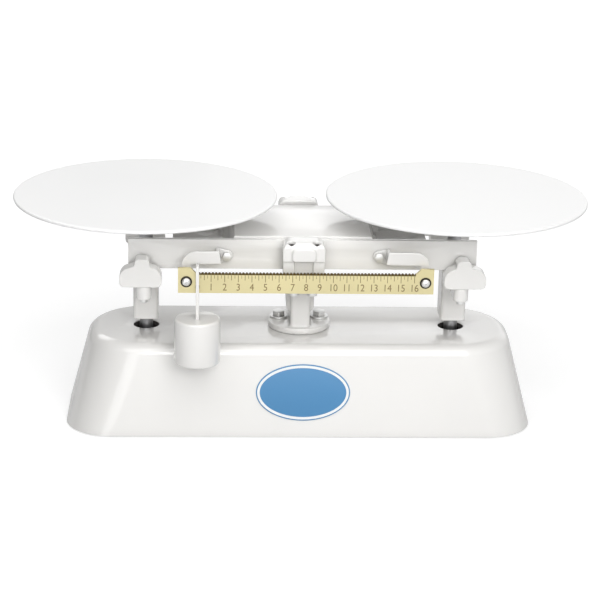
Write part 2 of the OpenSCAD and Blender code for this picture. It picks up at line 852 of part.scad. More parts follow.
// Notched bar: plain ends, 45 degree steps down, and one vee for each quarter of an ounce
module poise_bar() {
    z = notch_zone_half;
    notches = [for (i = [notch_count:-1:0]) let (x = notch_pitch * i - scale_travel / 2)
        each [[x + notch_half, notch_z], [x, notch_z - notch_depth], [x - notch_half, notch_z]]];
    outline = concat(
        [[-scale_half_l, scale_low_z], [scale_half_l, scale_low_z], [scale_half_l, scale_top_z],
            [z + scale_step, scale_top_z], [z, notch_z]],
        notches,
        [[-z, notch_z], [-z - scale_step, scale_top_z], [-scale_half_l, scale_top_z]]);
    color(brass) difference() {
        translate([scale_mid_x, 0, 0]) along_y(-scale_front_y, -scale_back_y) polygon(outline);
        at_bar_screws() lying(bar_screw_d + 2 * run_gap, -scale_front_y - over, -scale_back_y + over);
        for (i = [0:2 * ounces]) {
            tick_l = i % 2 == 0 ? ounce_tick_l : half_tick_l;
            translate([zero_x + i * ounce_pitch / 2 - tick_w / 2, -scale_front_y - over,
                notch_z - notch_depth - tick_top_gap - tick_l])
                cube([tick_w, over + tick_depth, tick_l]);
        }
    }
}

module bar_screws() {
    head_y = -scale_front_y - bar_screw_head_h;
    color(zinc) at_bar_screws() {
        lying(bar_screw_d, -scale_front_y - 0.5, -front_arm_y + bar_nut_t + 1.5);
        difference() {
            lying(bar_screw_head_d, head_y, -scale_front_y);
            translate([-bar_screw_head_d / 2, head_y - over, -0.5]) cube([bar_screw_head_d, over + 1, 1]);
        }
    }
}

module bar_nuts() {
    color(zinc) at_bar_screws() difference() {
        translate([0, -front_arm_y + bar_nut_t, 0]) rotate([90, 0, 0])
            cylinder(d = bar_nut_d, h = bar_nut_t, $fn = 6);
        lying(bar_screw_d + 2 * run_gap, -front_arm_y - over, -front_arm_y + bar_nut_t + over);
    }
}

// Poise

module at_zero() {
    translate([zero_x, -scale_mid_y, 0]) children();
}

module poise_pin_bore(d, far_x, near_x) {
    translate([far_x, 0, weight_top_z - strap_sink / 2]) rotate([0, 90, 0])
        cylinder(d = d, h = near_x - far_x, $fn = hole_segments);
}

// Strap whose slot straddles the notched bar; its upper edge comes to a line that sits in a notch
module poise_hanger() {
    low_z = weight_top_z - strap_sink;
    cut = strap_t / 2;
    edge_outline = [
        [0, rock_z], [cut + over, rock_z + cut + over], [cut + over, slot_low_z],
        [-cut - over, slot_low_z], [-cut - over, rock_z + cut + over]];
    color(enamel) at_zero() difference() {
        translate([-cut, -strap_half_y, low_z]) cube([strap_t, 2 * strap_half_y, strap_top_z - low_z]);
        along_y(-slot_half_y, slot_half_y) polygon(edge_outline);
        poise_pin_bore(poise_pin_d + 2 * run_gap, -strap_t, strap_t);
    }
}

// Weight with an adjusting cavity in its underside
module poise_weight() {
    r = weight_d / 2;
    cavity_r = cavity_d / 2;
    low_arc = arc(r - weight_edge, weight_low_z + weight_edge, weight_edge, -90, 0, 6);
    top_arc = arc(r - weight_edge, weight_top_z - weight_edge, weight_edge, 0, 90, 6);
    profile = concat(
        [[0, weight_low_z + cavity_h], [cavity_r, weight_low_z + cavity_h], [cavity_r, weight_low_z]],
        low_arc, top_arc, [[0, weight_top_z]]);
    slot_half = strap_half_y + run_gap;
    color(enamel) at_zero() difference() {
        rotate_extrude($fn = 96) polygon(profile);
        translate([-strap_t / 2 - run_gap, -slot_half, weight_top_z - strap_sink])
            cube([strap_t + 2 * run_gap, 2 * slot_half, strap_sink + over]);
        poise_pin_bore(poise_pin_d + 2 * run_gap, -poise_pin_far, r + over);
    }
}

module poise_pin() {
    color(zinc) at_zero() poise_pin_bore(poise_pin_d, -poise_pin_far, weight_d / 2 - 1);
}

module poise_plug() {
    color(zinc) at_zero() upright(cavity_d - 2 * run_gap, weight_low_z + 0.5, weight_low_z + 0.5 + plug_t);
}

// Check bar

module check_bar() {
    color(zinc) difference() {
        union() {
            translate([-arm, -check_t / 2, link_z - check_h / 2]) cube([2 * arm, check_t, check_h]);
            mirrored_x() translate([arm, 0, link_z]) lying(check_h, -check_t / 2, check_t / 2);
        }
        translate([0, 0, link_z]) lying(centre_pin_d + 2 * run_gap, -check_t, check_t);
        mirrored_x() translate([arm, 0, link_z]) lying(link_pin_d + 2 * link_gap, -check_t, check_t);
    }
}

// Bearers: modelled about x = 0 and moved out to each end of the beam

module at_side(side) {
    translate([side * arm, 0, 0]) children();
}

module bearer() {
    difference() {
        union() {
            translate([0, 0, block_low_z]) linear_extrude(bearer_top_z - block_low_z)
                polygon(rounded_box(block_w / 2, block_half_y, block_corner, 6));
            translate([-bearer_w / 2, -wing_mid_y, bearer_low_z]) cube([bearer_w, 2 * wing_mid_y, bearer_h]);
            mirrored_y() translate([0, wing_mid_y, 0]) upright(bearer_w, bearer_low_z, bearer_top_z);
        }
        upright(spindle_d + 2 * run_gap, block_low_z - over, bearer_top_z + over);
        mirrored_y() translate([0, wing_mid_y, 0])
            upright(wing_screw_d + 2 * run_gap, bearer_low_z - over, bearer_top_z + over);
        translate([0, 0, block_low_z + set_screw_rise])
            lying(set_screw_d + 2 * run_gap, 0, block_half_y + over);
    }
}

// One side of a wing's outline: end, shoulder and half of the crown
function wing_side(half) =
    let (shoulder_x = half - wing_top_r + wing_top_r * sin(shoulder_slope),
        shoulder_z = wing_end_z - wing_top_r + wing_top_r * cos(shoulder_slope),
        foot_x = crown_half + crown_foot_r,
        foot_z = shoulder_z + (shoulder_x - foot_x) * tan(shoulder_slope)
            + crown_foot_r / cos(shoulder_slope))
    concat(
        arc(half - wing_low_r, bearer_top_z + wing_low_r, wing_low_r, -90, 0, 5),
        arc(half - wing_top_r, wing_end_z - wing_top_r, wing_top_r, 0, 90 - shoulder_slope, 8),
        arc(foot_x, foot_z, crown_foot_r, 270 - shoulder_slope, 180, 5),
        arc(crown_half - crown_r, crown_top_z - crown_r, crown_r, 0, 90, 7));

// Wing-shaped cover that holds the bearing over one end knife edge, drawn for the right side
module wing() {
    inner_side = wing_side(wing_w / 2 - brim_shift);
    inner_outline = [for (i = [len(inner_side) - 1:-1:0]) [-inner_side[i][0], inner_side[i][1]]];
    difference() {
        translate([crown_shift, 0, 0]) along_y(wing_in_y, wing_out_y)
            polygon(concat(wing_side(wing_w / 2 + brim_shift), inner_outline));
        translate([-pocket_half, wing_in_y - over, pocket_low_z])
            cube([2 * pocket_half, wing_t - wing_front_wall + over, insert_top_z - pocket_low_z]);
        translate([0, wing_mid_y, 0])
            upright(wing_screw_d + 2 * run_gap, bearer_top_z - over, wing_screw_top);
    }
}

module wing_screws() {
    mirrored_y() translate([0, wing_mid_y, 0]) {
        upright(wing_screw_d, bearer_low_z - 1, wing_screw_top - 1);
        upright(wing_screw_head_d, bearer_low_z - wing_screw_head_h, bearer_low_z);
    }
}

// Hardened block with a downward vee that hangs on an end knife edge
module end_bearings() {
    vee_z = pivot_z + edge_gap;
    vee_half = (vee_z - insert_low_z) * vee_slope;
    outline = [
        [-insert_half, insert_top_z], [-insert_half, insert_low_z], [-vee_half, insert_low_z], [0, vee_z],
        [vee_half, insert_low_z], [insert_half, insert_low_z], [insert_half, insert_top_z]];
    mirrored_y() along_y(wing_in_y + over, wing_in_y + over + insert_depth) polygon(outline);
}

// Spindle: forked over the check bar at its foot, with the spider's seat at its top
module spindle() {
    difference() {
        upright(spindle_d, spindle_low_z, spindle_top_z);
        translate([-spindle_d, -fork_half, spindle_low_z - over])
            cube([2 * spindle_d, 2 * fork_half, fork_top_z - spindle_low_z + over]);
        translate([0, 0, link_z]) lying(link_pin_d + 2 * run_gap, -spindle_d, spindle_d);
        upright(spider_screw_d + 2 * run_gap, socket_z - spider_screw_l - 1, spindle_top_z + over);
    }
}

module set_screw() {
    translate([0, 0, block_low_z + set_screw_rise])
        lying(set_screw_d, spindle_d / 2 + edge_gap, block_half_y - 0.5);
}

module link_pin() {
    translate([0, 0, link_z]) headed_pin(link_pin_d, spindle_d / 2 + edge_gap);
}

// Four-armed spider: its arms lie level under the plate and its socket centres the plate's boss
module spider() {
    arm_outline = [
        [0, spider_top_z - spider_arm_root_h], [hub_d / 2, spider_top_z - spider_arm_root_h],
        [spider_r - spider_pad_d / 2, spider_top_z - spider_arm_tip_h],
        [spider_r - spider_pad_d / 2, spider_top_z], [0, spider_top_z]];
    difference() {
        union() {
            upright(hub_d, hub_low_z, spider_top_z);
            for (turn = [45:90:315]) rotate(turn) {
                along_y(-spider_arm_w / 2, spider_arm_w / 2) polygon(arm_outline);
                translate([spider_r - spider_pad_d / 2, 0, 0])
                    upright(spider_pad_d, spider_top_z - spider_arm_tip_h, spider_top_z);
            }
        }
        upright(spindle_d + 2 * run_gap, hub_low_z - over, spindle_top_z);
        upright(spider_screw_d + 2 * run_gap, hub_low_z, socket_z + over);
        upright(socket_d, socket_z, plate_low_z + over);
    }
}

module spider_screw() {
    upright(spider_screw_d, socket_z - spider_screw_l, socket_z + 0.5);
    upright(spider_screw_head_d, socket_z, socket_z + spider_screw_head_h);
}

module plate() {
    r = plate_d / 2;
    e = plate_edge_r;
    rim = concat(
        arc(r - e, plate_low_z + e, e, -90, 0, 5),
        arc(r - e, plate_top_z - e, e, 0, 90, 5));
    rotate_extrude($fn = 180) polygon(concat([[0, plate_low_z]], rim, [[0, plate_top_z]]));
    upright(boss_d, plate_low_z - plate_boss_h, plate_low_z + 1);
}

module left_bearer() {
    color(enamel) at_side(-1) bearer();
}

module left_front_wing() {
    color(enamel) at_side(-1) rotate(180) wing();
}

module left_rear_wing() {
    color(enamel) at_side(-1) mirror([1, 0, 0]) wing();
}

module left_wing_screws() {
    color(zinc) at_side(-1) wing_screws();
}

module left_bearings() {
    color(hard_steel) at_side(-1) end_bearings();
}

module left_spindle() {
    color(zinc) at_side(-1) spindle();
}

module left_set_screw() {
    color(hard_steel) at_side(-1) set_screw();
}

module left_link_pin() {
    color(hard_steel) at_side(-1) link_pin();
}

module left_spider() {
    color(enamel) at_side(-1) spider();
}

module left_spider_screw() {
    color(zinc) at_side(-1) spider_screw();
}

module left_plate() {
    color(plate_white) at_side(-1) plate();
}

module right_bearer() {
    color(enamel) at_side(1) bearer();
}

module right_front_wing() {
    color(enamel) at_side(1) mirror([0, 1, 0]) wing();
}

module right_rear_wing() {
    color(enamel) at_side(1) wing();
}

module right_wing_screws() {
    color(zinc) at_side(1) wing_screws();
}

module right_bearings() {
    color(hard_steel) at_side(1) end_bearings();
}

module right_spindle() {
    color(zinc) at_side(1) spindle();
}

module right_set_screw() {
    color(hard_steel) at_side(1) set_screw();
}

module right_link_pin() {
    color(hard_steel) at_side(1) link_pin();
}

module right_spider() {
    color(enamel) at_side(1) spider();
}

module right_spider_screw() {
    color(zinc) at_side(1) spider_screw();
}

module right_plate() {
    color(plate_white) at_side(1) plate();
}

// Ballast that balances the poise when it stands at zero
module right_ballast() {
    color(hard_steel) at_side(1) difference() {
        upright(ballast_d, ballast_low_z, ballast_low_z + ballast_h);
        upright(spindle_d + 2 * run_gap, ballast_low_z - over, ballast_low_z + ballast_h + over);
    }
}

base_shell();
rubber_feet();
foot_screws();
front_badge();
centre_stand();
stand_bolts();
stand_washers();
stand_nuts();
link_hanger();
hanger_pin();
front_bearing_bracket();
rear_bearing_bracket();
bracket_screws();
centre_bearings();
front_bearing_cap();
rear_bearing_cap();
cap_screws();
beam_front_bar();
beam_rear_bar();
beam_bridge();
beam_bolts();
centre_knife();
end_knives();
left_bar_bracket();
right_bar_bracket();
bar_spacers();
poise_bar();
bar_screws();
bar_nuts();
check_bar();
left_bearer();
left_front_wing();
left_rear_wing();
left_wing_screws();
left_bearings();
left_spindle();
left_set_screw();
left_link_pin();
left_spider();
left_spider_screw();
right_bearer();
right_front_wing();
right_rear_wing();
right_wing_screws();
right_bearings();
right_spindle();
right_set_screw();
right_link_pin();
right_spider();
right_spider_screw();
right_ballast();
left_plate();
right_plate();
poise_hanger();
poise_weight();
poise_pin();
poise_plug();
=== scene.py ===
import bpy, bmesh, json
from math import cos, pi, radians, sin
from mathutils import Matrix, Vector


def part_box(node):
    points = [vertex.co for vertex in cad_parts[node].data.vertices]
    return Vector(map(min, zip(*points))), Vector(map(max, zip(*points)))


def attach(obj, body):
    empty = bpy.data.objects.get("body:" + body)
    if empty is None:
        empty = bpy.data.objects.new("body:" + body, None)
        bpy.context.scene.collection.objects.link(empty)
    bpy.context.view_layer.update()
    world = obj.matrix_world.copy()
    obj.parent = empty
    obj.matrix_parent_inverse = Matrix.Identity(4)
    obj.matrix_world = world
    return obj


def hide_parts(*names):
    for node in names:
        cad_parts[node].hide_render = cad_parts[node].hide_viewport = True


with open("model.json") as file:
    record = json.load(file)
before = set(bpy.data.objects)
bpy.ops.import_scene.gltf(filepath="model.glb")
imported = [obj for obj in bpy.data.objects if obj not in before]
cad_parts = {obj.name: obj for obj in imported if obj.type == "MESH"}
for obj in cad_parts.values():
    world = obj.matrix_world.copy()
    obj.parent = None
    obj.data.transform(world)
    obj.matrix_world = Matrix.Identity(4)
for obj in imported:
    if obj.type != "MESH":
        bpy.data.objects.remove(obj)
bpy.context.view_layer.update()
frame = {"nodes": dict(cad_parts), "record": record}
mm = 0.001
near = 0.1  # millimetres, how close counts as lying on a plane or a hole's edge
nodes = frame["nodes"]
print("frame loaded:", len(nodes), "nodes")


def newObject(name, data):
    obj = bpy.data.objects.new(name, data)
    bpy.context.scene.collection.objects.link(obj)
    return obj


# Camera: where the photograph was taken from, worked out from the two round plates
cameraSet = {"place": (-0.07613, -1.6763, 0.6848), "pitch": 19.12, "yaw": 2.62, "roll": -1.21,
             "lens": 119.96, "sensor": 36}


def makeCamera(c):
    pitch, yaw, roll = (radians(c[k]) for k in ("pitch", "yaw", "roll"))
    ahead = Vector((sin(yaw) * cos(pitch), cos(yaw) * cos(pitch), -sin(pitch)))
    level = Vector((cos(yaw), -sin(yaw), 0))
    down = ahead.cross(level)
    across = level * cos(roll) + down * sin(roll)
    up = level * sin(roll) - down * cos(roll)
    camera = newObject("Camera", bpy.data.cameras.new("Camera"))
    camera.matrix_world = Matrix((across, up, -ahead)).transposed().to_4x4()
    camera.location = c["place"]
    camera.data.lens = c["lens"]
    camera.data.sensor_width = c["sensor"]
    bpy.context.scene.camera = camera


makeCamera(cameraSet)

# Studio: a pale world, dimmer on the left, and a pale floor that whitens away from the scale
studio = {"world": 0.26, "worldLeft": 0.1, "worldTurn": (-0.9, 0.1), "floor": 0.55,
          "floorSize": 6, "lift": (0.58, 0.95), "liftReach": (0.3, 1.4), "floorInGloss": 0.4}
# Soft lamps: x, y and z of the place, width, height and power; all are turned to lampAim
lamps = {"keyRight": (0.4, -1.5, 1.85, 1.1, 1.1, 12), "keyLeft": (-0.8, -1.3, 1.7, 1.1, 1.1, 7.5),
         "front": (0.35, -1.9, 0.95, 1.3, 0.7, 20), "strip": (-0.7, -1.8, 0.4, 0.7, 1.0, 3.6),
         "top": (-0.3, 0.1, 2.3, 1.3, 1.3, 9), "back": (0.75, 1.9, 0.75, 1.8, 0.9, 2.4),
         "rear": (-0.9, 1.5, 1.7, 1.1, 1.1, 9)}
lampAim = (0, 0, 0.1)


def mathNode(tree, operation, first, second):  # each input is a number or a socket
    n = tree.nodes.new("ShaderNodeMath")
    n.operation = operation
    for socket, value in zip(n.inputs, (first, second)):
        if isinstance(value, (int, float)):
            socket.default_value = value
        else:
            tree.links.new(value, socket)
    return n.outputs[0]


def rangeNode(tree, value, low, high, lowOut, highOut):
    n = tree.nodes.new("ShaderNodeMapRange")
    tree.links.new(value, n.inputs["Value"])
    numbers = {"From Min": low, "From Max": high, "To Min": lowOut, "To Max": highOut}
    for socket, number in numbers.items():
        n.inputs[socket].default_value = number
    return n.outputs[0]


def mixNode(tree, factor, first, second):  # each input is a colour or a socket
    n = tree.nodes.new("ShaderNodeMix")
    n.data_type = "RGBA"
    tree.links.new(factor, n.inputs[0])
    for socket, value in zip(n.inputs[6:8], (first, second)):
        if isinstance(value, tuple):
            socket.default_value = (*value, 1)
        else:
            tree.links.new(value, socket)
    return n.outputs[2]


def seenBy(tree):  # the camera's rays, and those of gloss and glass
    path = tree.nodes.new("ShaderNodeLightPath")
    inGloss = mathNode(tree, "MAXIMUM", path.outputs["Is Glossy Ray"],
                       path.outputs["Is Transmission Ray"])
    return path.outputs["Is Camera Ray"], inGloss


def makeWorld(s):
    world = bpy.data.worlds.new("Studio")
    world.use_nodes = True
    tree = world.node_tree
    backdrop = tree.nodes["Background"]
    backdrop.inputs["Color"].default_value = (1, 1, 1, 1)
    way = tree.nodes.new("ShaderNodeTexCoord")
    parts = tree.nodes.new("ShaderNodeSeparateXYZ")
    tree.links.new(way.outputs["Object"], parts.inputs[0])
    sideways = rangeNode(tree, parts.outputs["X"], *s["worldTurn"], s["worldLeft"], 1)
    inCamera, inGloss = seenBy(tree)
    level = mathNode(tree, "MULTIPLY", mathNode(tree, "MAXIMUM", inGloss, s["world"]), sideways)
    strength = mathNode(tree, "MAXIMUM", level, inCamera)
    tree.links.new(strength, backdrop.inputs["Strength"])
    bpy.context.scene.world = world


def makeFloor(s):
    bm = bmesh.new()
    bmesh.ops.create_grid(bm, x_segments=1, y_segments=1, size=s["floorSize"])
    mesh = bpy.data.meshes.new("Floor")
    bm.to_mesh(mesh)
    bm.free()
    floor = newObject("Floor", mesh)
    material = bpy.data.materials.new("Floor")
    material.use_nodes = True
    tree = material.node_tree
    tree.nodes.clear()
    matt = tree.nodes.new("ShaderNodeBsdfDiffuse")
    matt.inputs["Color"].default_value = (s["floor"],) * 3 + (1,)
    lift = tree.nodes.new("ShaderNodeEmission")
    both = tree.nodes.new("ShaderNodeAddShader")
    out = tree.nodes.new("ShaderNodeOutputMaterial")
    place = tree.nodes.new("ShaderNodeTexCoord")
    reach = tree.nodes.new("ShaderNodeVectorMath")
    reach.operation = "LENGTH"
    tree.links.new(place.outputs["Object"], reach.inputs[0])
    rise = rangeNode(tree, reach.outputs["Value"], *s["liftReach"], *s["lift"])
    inCamera, inGloss = seenBy(tree)
    dimmed = mathNode(tree, "MULTIPLY", inGloss, s["floorInGloss"])
    seen = mathNode(tree, "MAXIMUM", inCamera, dimmed)
    tree.links.new(mathNode(tree, "MULTIPLY", seen, rise), lift.inputs["Strength"])
    tree.links.new(matt.outputs[0], both.inputs[0])
    tree.links.new(lift.outputs[0], both.inputs[1])
    tree.links.new(both.outputs[0], out.inputs["Surface"])
    mesh.materials.append(material)


def makeLamp(name, x, y, z, width, height, power):
    light = bpy.data.lights.new(name, "AREA")
    light.shape = "RECTANGLE"
    light.size = width
    light.size_y = height
    light.energy = power
    lamp = newObject(name, light)
    lamp.location = (x, y, z)
    aim = Vector(lampAim) - lamp.location
    lamp.rotation_euler = aim.to_track_quat("-Z", "Y").to_euler()


makeWorld(studio)
makeFloor(studio)
for lampName, settings in lamps.items():
    makeLamp(lampName, *settings)
bpy.context.scene.view_settings.view_transform = "Standard"
print("studio ready")

# Finishes: colour, slow change of shade, roughness from and to, grain per metre along x, y
# and z with its bump, clear coat, and how strongly painted shade darkens the corners
finishes = {
    "whiteEnamel": {"colour": (0.83, 0.82, 0.80), "shade": 0.035, "metal": 0,
                    "rough": (0.28, 0.4), "grain": (500, 500, 500), "bump": 0.05,
                    "coat": 1, "dirt": 0.65},
    "whitePlate": {"colour": (0.935, 0.935, 0.93), "shade": 0.015, "metal": 0,
                   "rough": (0.34, 0.44), "grain": (800, 800, 800), "bump": 0.05,
                   "coat": 0.15, "dirt": 0.1},
    "zincPlate": {"colour": (0.84, 0.84, 0.83), "shade": 0.12, "metal": 1,
                  "rough": (0.4, 0.54), "grain": (1400, 1400, 1400), "bump": 0.12,
                  "coat": 0, "dirt": 0.6},
    "hardSteel": {"colour": (0.40, 0.40, 0.41), "shade": 0.16, "metal": 1,
                  "rough": (0.3, 0.46), "grain": (2600, 300, 2600), "bump": 0.14,
                  "coat": 0, "dirt": 0.5},
    "satinBrass": {"colour": (0.78, 0.70, 0.41), "shade": 0.1, "metal": 1,
                   "rough": (0.3, 0.44), "grain": (60, 2200, 2200), "bump": 0.12,
                   "coat": 0, "dirt": 0.5},
    # near-black steel used as painted shade: cup washers under the bar screws and the cap screws
    # in the caps' dark recesses
    "shadeBlackSteel": {"colour": (0.05, 0.045, 0.04), "shade": 0.3, "metal": 1,
                  "rough": (0.4, 0.6), "grain": (1500, 1500, 1500), "bump": 0.2,
                  "coat": 0, "dirt": 0.5},
    # the unpainted inside of the base, made near black as painted shade for the dark holes as
    # well
    "bareShadedCasting": {"colour": (0.075, 0.07, 0.065), "shade": 0.3, "metal": 0,
                    "rough": (0.7, 0.9), "grain": (700, 700, 700), "bump": 0.5,
                    "coat": 0, "dirt": 0.3},
    "blackRubber": {"colour": (0.03, 0.03, 0.03), "shade": 0.3, "metal": 0,
                    "rough": (0.6, 0.8), "grain": (900, 900, 900), "bump": 0.25,
                    "coat": 0, "dirt": 0.2},
    "badgeBlue": {"colour": (0.075, 0.25, 0.48), "shade": 0.05, "metal": 0,
                  "rough": (0.42, 0.55), "grain": (700, 700, 700), "bump": 0.06,
                  "coat": 0, "dirt": 0.2},
    "ringWhite": {"colour": (0.86, 0.87, 0.87), "shade": 0.03, "metal": 0,
                  "rough": (0.25, 0.35), "grain": (700, 700, 700), "bump": 0.03,
                  "coat": 0.4, "dirt": 0.2},
    "markBrown": {"colour": (0.24, 0.17, 0.07), "shade": 0.25, "metal": 0,
                  "rough": (0.5, 0.7), "grain": (2500, 2500, 2500), "bump": 0.15,
                  "coat": 0, "dirt": 0},
}
# The notched bar is the same brass, with painted shade along its notched top: dark above a ramp
# between two heights in metres, as far as a distance either side of its middle
finishes["notchedBrass"] = {**finishes["satinBrass"], "patina": (0.12, 0.085, 0.03),
                            "patinaZ": (0.1529, 0.1533), "patinaX": (0.0018, 0.0925)}
# The four corner settings give how far the ambient occlusion looks, its samples, how open a
# corner is before the painted shade ends, and how dark that painted shade gets
finishSet = {"cloudScale": 14, "cloudDetail": 3, "grainDetail": 2, "lighter": 0.5,
             "shadeReach": 0.012, "shadeSamples": 6, "shadeOpen": 0.8, "shadeDarkness": 0.45,
             "bumpDepth": 0.0004, "coatRough": 0.06}


def makeFinish(name, f, c):
    material = bpy.data.materials.new(name)
    material.use_nodes = True
    tree = material.node_tree
    shader = tree.nodes["Principled BSDF"]
    shader.inputs["Metallic"].default_value = f["metal"]
    shader.inputs["Coat Weight"].default_value = f["coat"]
    shader.inputs["Coat Roughness"].default_value = c["coatRough"]
    place = tree.nodes.new("ShaderNodeTexCoord").outputs["Object"]
    cloud = tree.nodes.new("ShaderNodeTexNoise")  # slow change of shade over the piece
    cloud.inputs["Scale"].default_value = c["cloudScale"]
    cloud.inputs["Detail"].default_value = c["cloudDetail"]
    tree.links.new(place, cloud.inputs["Vector"])
    slow = cloud.outputs["Fac"]
    darker = tuple(v * (1 - f["shade"]) for v in f["colour"])
    lighter = tuple(min(1, v * (1 + f["shade"] * c["lighter"])) for v in f["colour"])
    tint = mixNode(tree, slow, darker, lighter)
    corner = tree.nodes.new("ShaderNodeAmbientOcclusion")  # painted shade in the corners, from ambient occlusion
    corner.samples = c["shadeSamples"]
    corner.inputs["Distance"].default_value = c["shadeReach"]
    # painted shade: the colour darkens the more closed in a corner is
    shadeAmount = rangeNode(tree, corner.outputs["AO"], 0, c["shadeOpen"], f["dirt"], 0)
    paint = mixNode(tree, shadeAmount, tint, tuple(c["shadeDarkness"] * v for v in f["colour"]))
    if "patina" in f:  # painted shade darkens the row of notches
        parts = tree.nodes.new("ShaderNodeSeparateXYZ")
        tree.links.new(place, parts.inputs[0])
        middle, halfLength = f["patinaX"]
        up = rangeNode(tree, parts.outputs["Z"], *f["patinaZ"], 0, 1)
        fromMiddle = mathNode(tree, "SUBTRACT", parts.outputs["X"], middle)
        offMiddle = mathNode(tree, "ABSOLUTE", fromMiddle, 0)
        within = mathNode(tree, "LESS_THAN", offMiddle, halfLength)
        paint = mixNode(tree, mathNode(tree, "MULTIPLY", up, within), paint, f["patina"])
    tree.links.new(paint, shader.inputs["Base Color"])
    tree.links.new(rangeNode(tree, slow, 0, 1, *f["rough"]), shader.inputs["Roughness"])
    stretch = tree.nodes.new("ShaderNodeMapping")
    stretch.inputs["Scale"].default_value = f["grain"]
    tree.links.new(place, stretch.inputs["Vector"])
    peel = tree.nodes.new("ShaderNodeTexNoise")  # fine texture of the surface
    peel.inputs["Scale"].default_value = 1
    peel.inputs["Detail"].default_value = c["grainDetail"]
    tree.links.new(stretch.outputs[0], peel.inputs["Vector"])
    bump = tree.nodes.new("ShaderNodeBump")
    bump.inputs["Strength"].default_value = f["bump"]
    bump.inputs["Distance"].default_value = c["bumpDepth"]
    tree.links.new(peel.outputs["Fac"], bump.inputs["Height"])
    tree.links.new(bump.outputs[0], shader.inputs["Normal"])
    return material


materials = {name: makeFinish(name, f, finishSet) for name, f in finishes.items()}
print("finishes ready:", len(materials))

record = frame["record"]
slotOf = {s["node"]: s["material_slot"] for s in record["subparts"]}
bodyOf = {n: body for body, members in record["behaviour"]["bodies"].items() for n in members}
slotFinish = {"white_enamel": "whiteEnamel", "white_plate": "whitePlate", "zinc": "zincPlate",
              "hard_steel": "hardSteel", "brass": "satinBrass", "black_rubber": "blackRubber",
              "blue_badge": "badgeBlue"}
for name, obj in nodes.items():
    finish = "notchedBrass" if name == "poise_bar" else slotFinish[slotOf[name]]
    obj.data.materials.clear()
    obj.data.materials.append(materials[finish])

# How meshes are cleaned: merge distance and flat angle of a CAD copy, in metres and degrees,
# merge distance of a turned shape's poles, in millimetres, and the angle of a sharp edge
cleaning = {"merge": 2e-6, "flat": 0.3, "pole": 1e-4, "sharp": 32}


def addPiece(name, mesh, like, finish=None, stands=True, angle=cleaning["sharp"]):
    mesh.name = name
    mesh.materials.clear()
    mesh.materials.append(materials[finish or slotFinish[slotOf[like]]])
    mesh.shade_smooth()
    mesh.set_sharp_from_angle(angle=radians(angle))
    piece = newObject(name, mesh)
    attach(piece, bodyOf[like])
    if stands:
        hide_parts(like)
    return piece


def meshFrom(bm, scale=1):
    bmesh.ops.scale(bm, vec=(scale,) * 3, verts=bm.verts)
    mesh = bpy.data.meshes.new("shape")
    bm.to_mesh(mesh)
    bm.free()
    return mesh


def mergedCopy(node):  # the CAD shape with its loose triangles joined into plain faces
    bm = bmesh.new()
    bm.from_mesh(nodes[node].data)
    bmesh.ops.remove_doubles(bm, verts=bm.verts, dist=cleaning["merge"])
    flat = radians(cleaning["flat"])
    bmesh.ops.dissolve_limit(bm, angle_limit=flat, verts=bm.verts, edges=bm.edges)
    return bm


def evaluatedMesh(obj):  # the mesh with its modifiers applied; the object goes
    seen = obj.evaluated_get(bpy.context.evaluated_depsgraph_get())
    result = bpy.data.meshes.new_from_object(seen)
    bpy.data.objects.remove(obj)
    return result


def shaped(mesh, *steps):  # the mesh after a list of modifiers, each a type and its settings
    holder = newObject("holder", mesh)
    for kind, values in steps:
        modifier = holder.modifiers.new(kind.title(), kind)
        for key, value in values.items():
            setattr(modifier, key, value)
    return evaluatedMesh(holder)


def cutOut(mesh, cutter, *before):  # the mesh, after any other steps, less the cutter's shape
    tool = newObject("tool", meshFrom(cutter, mm))
    cut = {"object": tool, "operation": "DIFFERENCE", "solver": "EXACT"}
    result = shaped(mesh, *before, ("BOOLEAN", cut))
    bpy.data.objects.remove(tool)
    return result


def rounded(bm, geom, width, segments, affect="EDGES", clamp=False):
    bmesh.ops.bevel(bm, geom=geom, offset=width, affect=affect, segments=segments, profile=0.5,
                    material=-1, clamp_overlap=clamp)


def spun(points, steps):  # a line of points, out from the axis and up, turned round z
    bm = bmesh.new()
    line = [bm.verts.new((x, 0, z)) for x, z in points]
    for a, b in zip(line, line[1:]):
        bm.edges.new((a, b))
    bmesh.ops.spin(bm, geom=bm.verts[:] + bm.edges[:], axis=(0, 0, 1), angle=2 * pi,
                   steps=steps, use_merge=True)
    bmesh.ops.remove_doubles(bm, verts=bm.verts, dist=cleaning["pole"])
    bmesh.ops.recalc_face_normals(bm, faces=bm.faces)
    return bm


def quarter(cx, cz, r, start, steps=5):  # points of a quarter round, start in degrees
    turns = [radians(start + 90 * i / steps) for i in range(steps + 1)]
    return [(cx + r * cos(turn), cz + r * sin(turn)) for turn in turns]


# Base casting: two rounded outlines bridged into a tapered block, its deck edge rounded,
# hollow below; sizes here and further on are in millimetres
base = {"length": 411, "width": 140, "low": 0.8, "high": 80, "taperLength": 41,
        "taperWidth": 28, "cornerLow": 41, "cornerHigh": 50, "cornerSteps": 24, "edge": 8.6,
        "edgeSteps": 9, "wall": 4.5, "holeRadius": 11.25, "holeX": 135.6, "holeDepth": 30,
        "holeSteps": 64, "lip": 0.7, "lipSteps": 3, "footX": 167.5, "footY": 44, "footZ": 30.2,
        "footRadii": (8, 8.6), "footDepth": 48, "footSteps": 32, "middleX": 130, "middleZ": 20,
        "paintDepth": 0.8}


